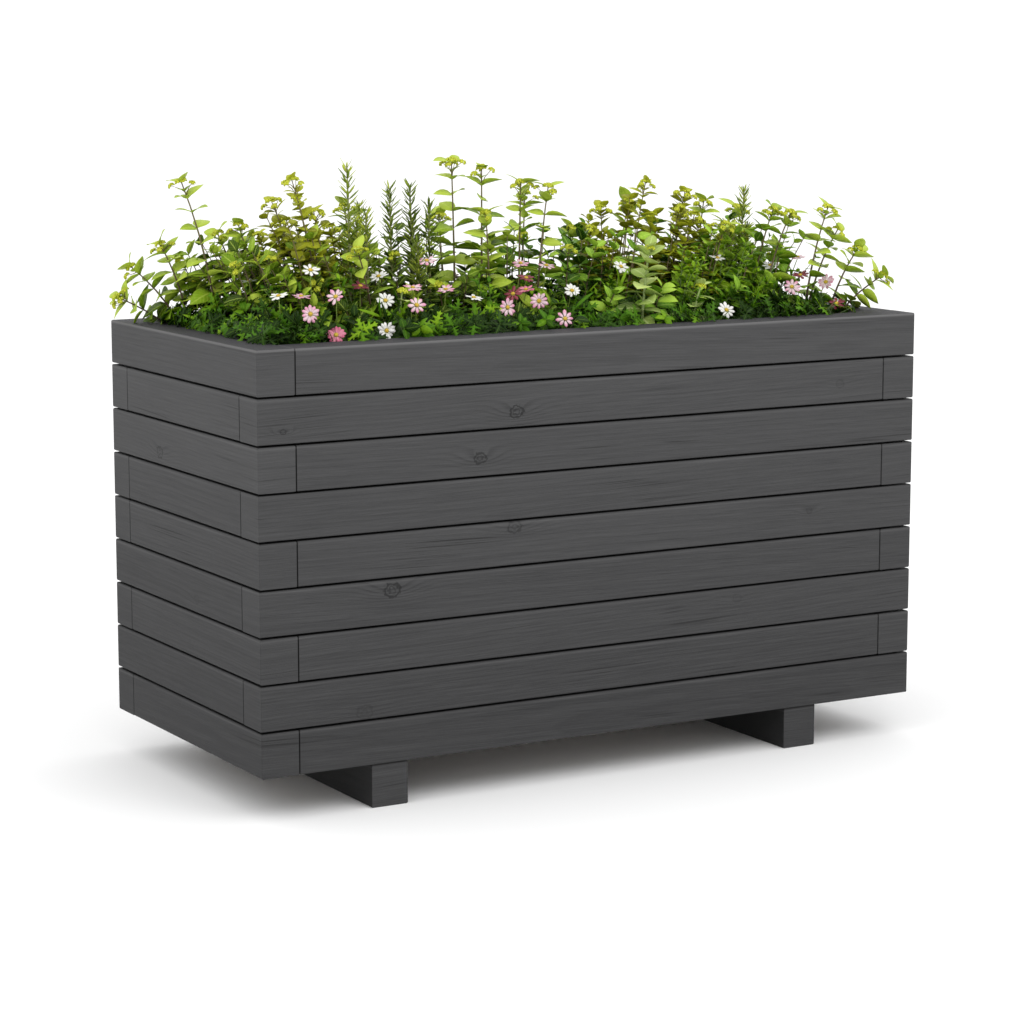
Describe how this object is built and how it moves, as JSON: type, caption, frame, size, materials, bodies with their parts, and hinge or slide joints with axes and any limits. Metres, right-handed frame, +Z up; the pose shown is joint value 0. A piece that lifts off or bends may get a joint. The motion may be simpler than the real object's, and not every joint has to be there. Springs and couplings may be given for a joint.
{
  "type": "raised planter on runner feet",
  "caption": "Deep rectangular planter of stacked dark-stained timbers on two low runner feet, lined, filled with compost and planted with herbs and daisies.",
  "frame": {"origin": "on the ground under the middle of the planter", "axes": "+X along the long walls, -Y towards the front, +Z up"},
  "size_m": [1.12, 0.515, 0.8912],
  "materials": {
    "stained_timber": "matte",
    "treated_timber": "matte",
    "liner_sheet": "matte",
    "compost": "matte",
    "screw_steel": "satin",
    "feathery_leaf": "satin",
    "daisy_petal": "satin",
    "rosemary_leaf": "satin",
    "herb_leaf": "satin",
    "bronze_leaf": "satin",
    "broad_leaf": "satin"
  },
  "bodies": {
    "root": {"course_1_front_board": "stained_timber", "course_1_back_board": "stained_timber", "course_1_left_board": "stained_timber", "course_1_right_board": "stained_timber", "course_2_front_board": "stained_timber", "course_2_back_board": "stained_timber", "course_2_left_board": "stained_timber", "course_2_right_board": "stained_timber", "course_3_front_board": "stained_timber", "course_3_back_board": "stained_timber", "course_3_left_board": "stained_timber", "course_3_right_board": "stained_timber", "course_4_front_board": "stained_timber", "course_4_back_board": "stained_timber", "course_4_left_board": "stained_timber", "course_4_right_board": "stained_timber", "course_5_front_board": "stained_timber", "course_5_back_board": "stained_timber", "course_5_left_board": "stained_timber", "course_5_right_board": "stained_timber", "course_6_front_board": "stained_timber", "course_6_back_board": "stained_timber", "course_6_left_board": "stained_timber", "course_6_right_board": "stained_timber", "course_7_front_board": "stained_timber", "course_7_back_board": "stained_timber", "course_7_left_board": "stained_timber", "course_7_right_board": "stained_timber", "course_8_front_board": "stained_timber", "course_8_back_board": "stained_timber", "course_8_left_board": "stained_timber", "course_8_right_board": "stained_timber", "course_9_front_board": "stained_timber", "course_9_back_board": "stained_timber", "course_9_left_board": "stained_timber", "course_9_right_board": "stained_timber", "left_foot": "stained_timber", "right_foot": "stained_timber", "floor_board_1": "treated_timber", "floor_board_2": "treated_timber", "floor_board_3": "treated_timber", "floor_board_4": "treated_timber", "front_left_post": "treated_timber", "front_middle_post": "treated_timber", "front_right_post": "treated_timber", "back_left_post": "treated_timber", "back_middle_post": "treated_timber", "back_right_post": "treated_timber", "liner": "liner_sheet", "compost": "compost", "liner_tacks": "screw_steel", "post_screws": "screw_steel", "floor_screws": "screw_steel", "foot_screws": "screw_steel", "feathery_plants": "feathery_leaf", "daisy_plants": "daisy_petal", "rosemary_plants": "rosemary_leaf", "tall_plants": "herb_leaf", "bronze_plants": "bronze_leaf", "broad_leaf_plants": "broad_leaf"}
  },
  "joints": []
}
